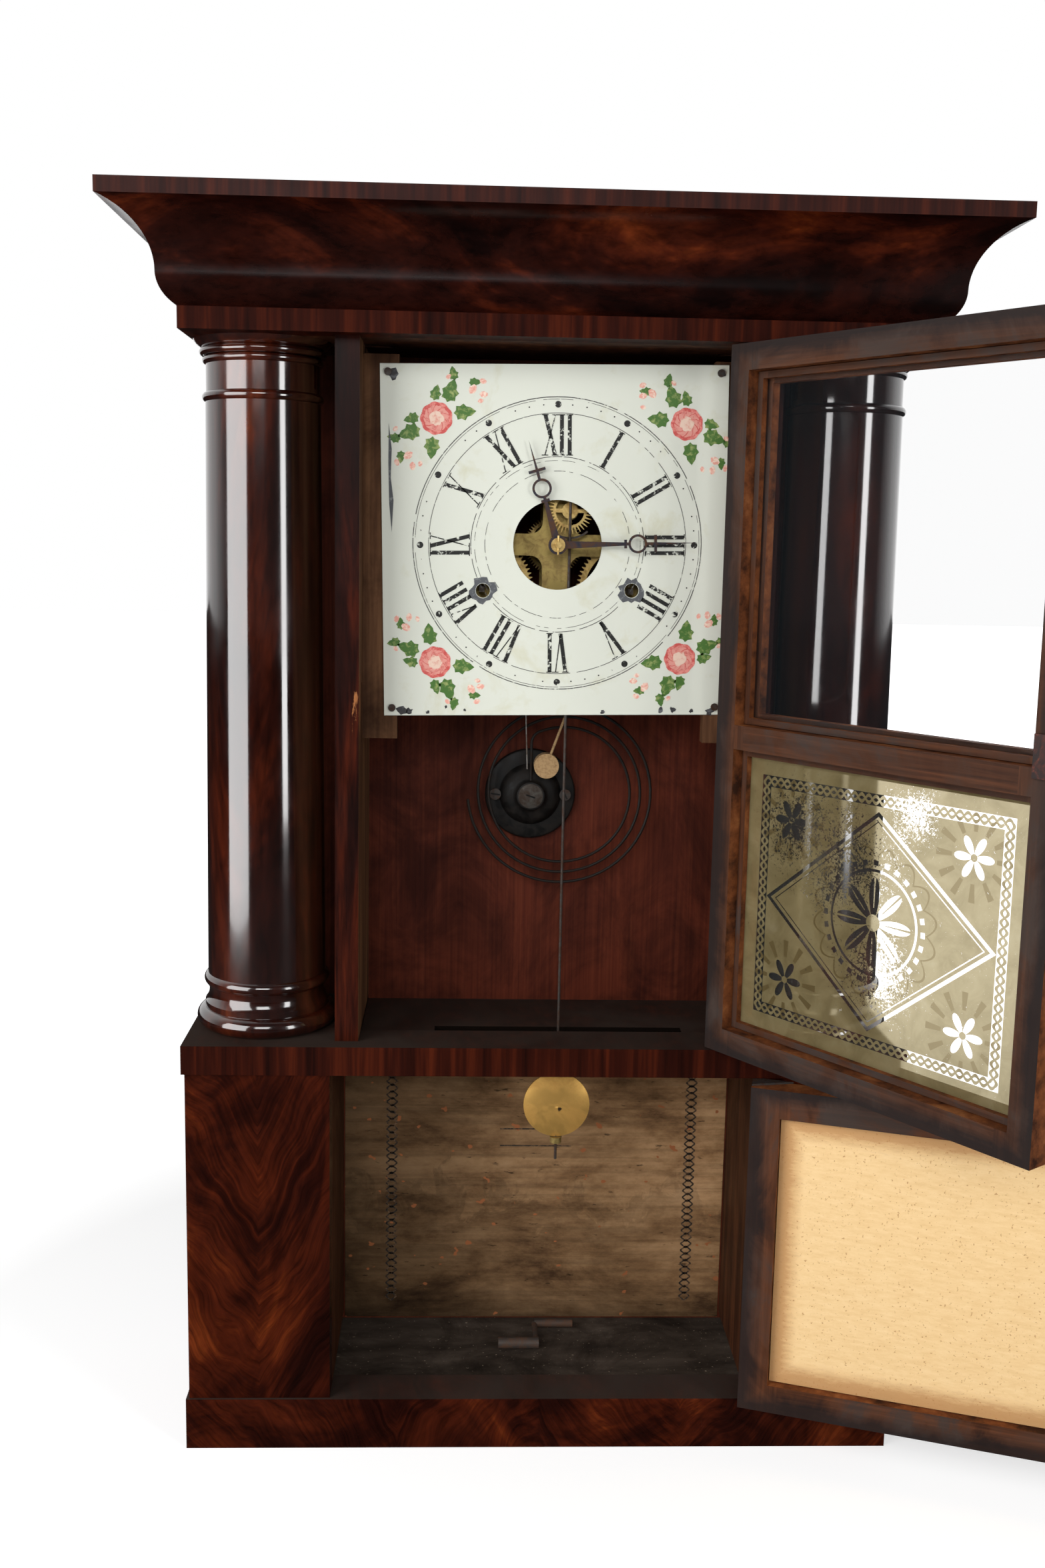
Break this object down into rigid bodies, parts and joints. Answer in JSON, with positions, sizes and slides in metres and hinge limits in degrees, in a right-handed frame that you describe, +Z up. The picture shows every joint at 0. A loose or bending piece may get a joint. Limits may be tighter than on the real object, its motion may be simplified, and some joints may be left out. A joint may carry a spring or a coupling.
{
  "type": "hollow column shelf clock",
  "caption": "Weight-driven wooden shelf clock with hollow columns that guide the weights, a curved cornice, glazed upper door, panelled lower door, painted dial, pendulum and coiled gong.",
  "frame": {"origin": "middle of the base between its sides, on the shelf surface", "axes": "+Z up, the dial faces -Y, +X to the right seen from the front"},
  "size_m": [0.6666, 0.3219, 0.8],
  "materials": {
    "crotch_veneer": "polished veneer, dark red-brown",
    "column_wood": "polished, near black to dark red-brown",
    "case_pine": "stained softwood, dull",
    "door_wood": "worn, dull",
    "door_panel_board": "raw board, pale tan",
    "rail_wood": "raw, worn",
    "label_paper": "aged paper",
    "dial_paint": "painted, worn",
    "movement_brass": "aged",
    "bob_brass": "dull sheet",
    "blued_steel": "blued, rusty",
    "iron_wire": "dark, rusty",
    "gong_iron": "black paint",
    "weight_iron": "rusty",
    "hammer_leather": "worn",
    "cord": "twisted",
    "clear_glass": "clear",
    "frosted_glass": "painted and frosted",
    "knob_wood": "turned"
  },
  "bodies": {
    "case": {"base_plinth": "crotch_veneer", "lower_floor": "case_pine", "pier_left": "crotch_veneer", "pier_right": "crotch_veneer", "lower_sides": "case_pine", "lower_walls": "case_pine", "waist_ledge": "crotch_veneer", "upper_side_left": "crotch_veneer", "upper_side_right": "crotch_veneer", "frieze_rail": "crotch_veneer", "cornice_front": "crotch_veneer", "cornice_returns": "crotch_veneer", "soffit_board": "case_pine", "top_board": "case_pine", "back_board": "case_pine", "column_left": "column_wood", "column_right": "column_wood", "paper_label": "label_paper", "dial_plate": "dial_paint", "dial_pins": "iron_wire", "dial_rails": "rail_wood", "front_plate": "movement_brass", "back_plate": "movement_brass", "movement_posts": "movement_brass", "gong_base": "gong_iron", "gong_coil": "blued_steel", "gong_screws": "iron_wire", "cord_runs": "cord", "pulley_brackets": "iron_wire"},
    "upper_door": {"upper_door_frame": "door_wood", "tablet_glass": "frosted_glass", "upper_glass": "clear_glass", "glazing_beads": "door_wood", "upper_pivots": "iron_wire"},
    "upper_catch": {"door_catch": "knob_wood"},
    "lower_door": {"lower_door_frame": "door_wood", "lower_door_panel": "door_panel_board", "lower_pivots": "iron_wire"},
    "minute": {"centre_arbor": "movement_brass", "minute_hand": "blued_steel", "hand_washer_and_pin": "movement_brass"},
    "hour": {"hour_pipe": "movement_brass", "hour_hand": "blued_steel"},
    "drum_left": {"cord_drum_left": "movement_brass"},
    "drum_right": {"cord_drum_right": "movement_brass"},
    "escapement": {"escape_wheel": "movement_brass"},
    "verge_arm": {"verge": "iron_wire"},
    "count": {"count_wheel": "movement_brass"},
    "fly_vane": {"fly": "movement_brass"},
    "pendulum": {"pendulum_rod": "iron_wire", "pendulum_bob": "bob_brass"},
    "rating": {"rating_nut": "movement_brass"},
    "strike_hammer": {"hammer": "hammer_leather"},
    "weight_l": {"weight_left": "weight_iron", "cord_drop_left": "cord"},
    "weight_r": {"weight_right": "weight_iron", "cord_drop_right": "cord"},
    "sheave_left": {"pulley_left": "knob_wood"},
    "sheave_right": {"pulley_right": "knob_wood"},
    "key": {"crank_key": "iron_wire"}
  },
  "joints": [
    {"name": "upper_door_hinge", "type": "hinge", "parent": "case", "child": "upper_door", "pos_m": [0.12, -0.05, 0.5], "axis": [0, 0, 1], "range_deg": [-125.5, 40]},
    {"name": "catch_turn", "type": "hinge", "parent": "upper_door", "child": "upper_catch", "pos_m": [0.24519, -0.24445, 0.491], "axis": [0.8141, 0.5807, 0], "range_deg": [0, 90]},
    {"name": "lower_door_hinge", "type": "hinge", "parent": "case", "child": "lower_door", "pos_m": [0.1375, -0.0605, 0.147], "axis": [0, 0, 1], "range_deg": [-161, 9]},
    {"name": "minute_hand_turn", "type": "hinge", "parent": "case", "child": "minute", "pos_m": [0.002, -0.02, 0.6], "axis": [0, 1, 0], "continuous": true},
    {"name": "hour_hand_turn", "type": "hinge", "parent": "case", "child": "hour", "pos_m": [0.002, -0.02, 0.6], "axis": [0, 1, 0], "continuous": true},
    {"name": "escape_wheel_turn", "type": "hinge", "parent": "case", "child": "escapement", "pos_m": [0.01, 0, 0.622], "axis": [0, 1, 0], "continuous": true},
    {"name": "pendulum_swing", "type": "hinge", "parent": "case", "child": "pendulum", "pos_m": [0.01, -0.0158, 0.644], "axis": [0, 1, 0], "range_deg": [-3.5, 3.5]},
    {"name": "verge_rock", "type": "hinge", "parent": "case", "child": "verge_arm", "pos_m": [0.01, -0.0116, 0.6009], "axis": [0, 1, 0], "range_deg": [-5.5, 5.5]},
    {"name": "rating_nut_turn", "type": "hinge", "parent": "pendulum", "child": "rating", "pos_m": [0.01, -0.0158, 0.1985], "axis": [0, 0, 1], "continuous": true},
    {"name": "count_wheel_turn", "type": "hinge", "parent": "case", "child": "count", "pos_m": [0.046, 0, 0.622], "axis": [0, 1, 0], "continuous": true},
    {"name": "fly_turn", "type": "hinge", "parent": "case", "child": "fly_vane", "pos_m": [-0.044, 0, 0.628], "axis": [0, 1, 0], "continuous": true},
    {"name": "hammer_swing", "type": "hinge", "parent": "case", "child": "strike_hammer", "pos_m": [0.037, 0.038, 0.55], "axis": [0, 1, 0], "range_deg": [-14, 0], "stiffness_Nm_per_rad": 0.05, "springref_deg": 11.46},
    {"name": "weight_left_drop", "type": "slide", "parent": "case", "child": "weight_l", "axis": [0, 0, -1], "range_m": [-0.04, 0.46], "deforming": ["cord_drop_left"]},
    {"name": "weight_right_drop", "type": "slide", "parent": "case", "child": "weight_r", "axis": [0, 0, -1], "range_m": [-0.04, 0.46], "deforming": ["cord_drop_right"]},
    {"name": "drum_left_turn", "type": "hinge", "parent": "case", "child": "drum_left", "pos_m": [-0.046, 0, 0.571], "axis": [0, 1, 0], "range_deg": [-1630, 145]},
    {"name": "drum_right_turn", "type": "hinge", "parent": "case", "child": "drum_right", "pos_m": [0.05, 0, 0.571], "axis": [0, 1, 0], "range_deg": [-145, 1630]},
    {"name": "pulley_left_turn", "type": "hinge", "parent": "case", "child": "sheave_left", "pos_m": [-0.17268, -0.00552, 0.755], "axis": [-0.1062, 0.9943, 0], "range_deg": [-1910, 170]},
    {"name": "pulley_right_turn", "type": "hinge", "parent": "case", "child": "sheave_right", "pos_m": [0.17268, -0.00548, 0.755], "axis": [0.1092, 0.994, 0], "range_deg": [-170, 1910]},
    {"name": "key_lift", "type": "slide", "parent": "case", "child": "key", "axis": [0, 0, 1], "range_m": [0, 0.06]}
  ],
  "couplings": [
    {"joint": "hour_hand_turn", "follows": "minute_hand_turn", "ratio": 0.083333},
    {"joint": "verge_rock", "follows": "pendulum_swing", "ratio": 1.4358},
    {"joint": "drum_left_turn", "follows": "weight_left_drop", "rad_per_m": -61.35},
    {"joint": "drum_right_turn", "follows": "weight_right_drop", "rad_per_m": 61.35},
    {"joint": "pulley_left_turn", "follows": "weight_left_drop", "rad_per_m": -71.942},
    {"joint": "pulley_right_turn", "follows": "weight_right_drop", "rad_per_m": 71.942}
  ]
}
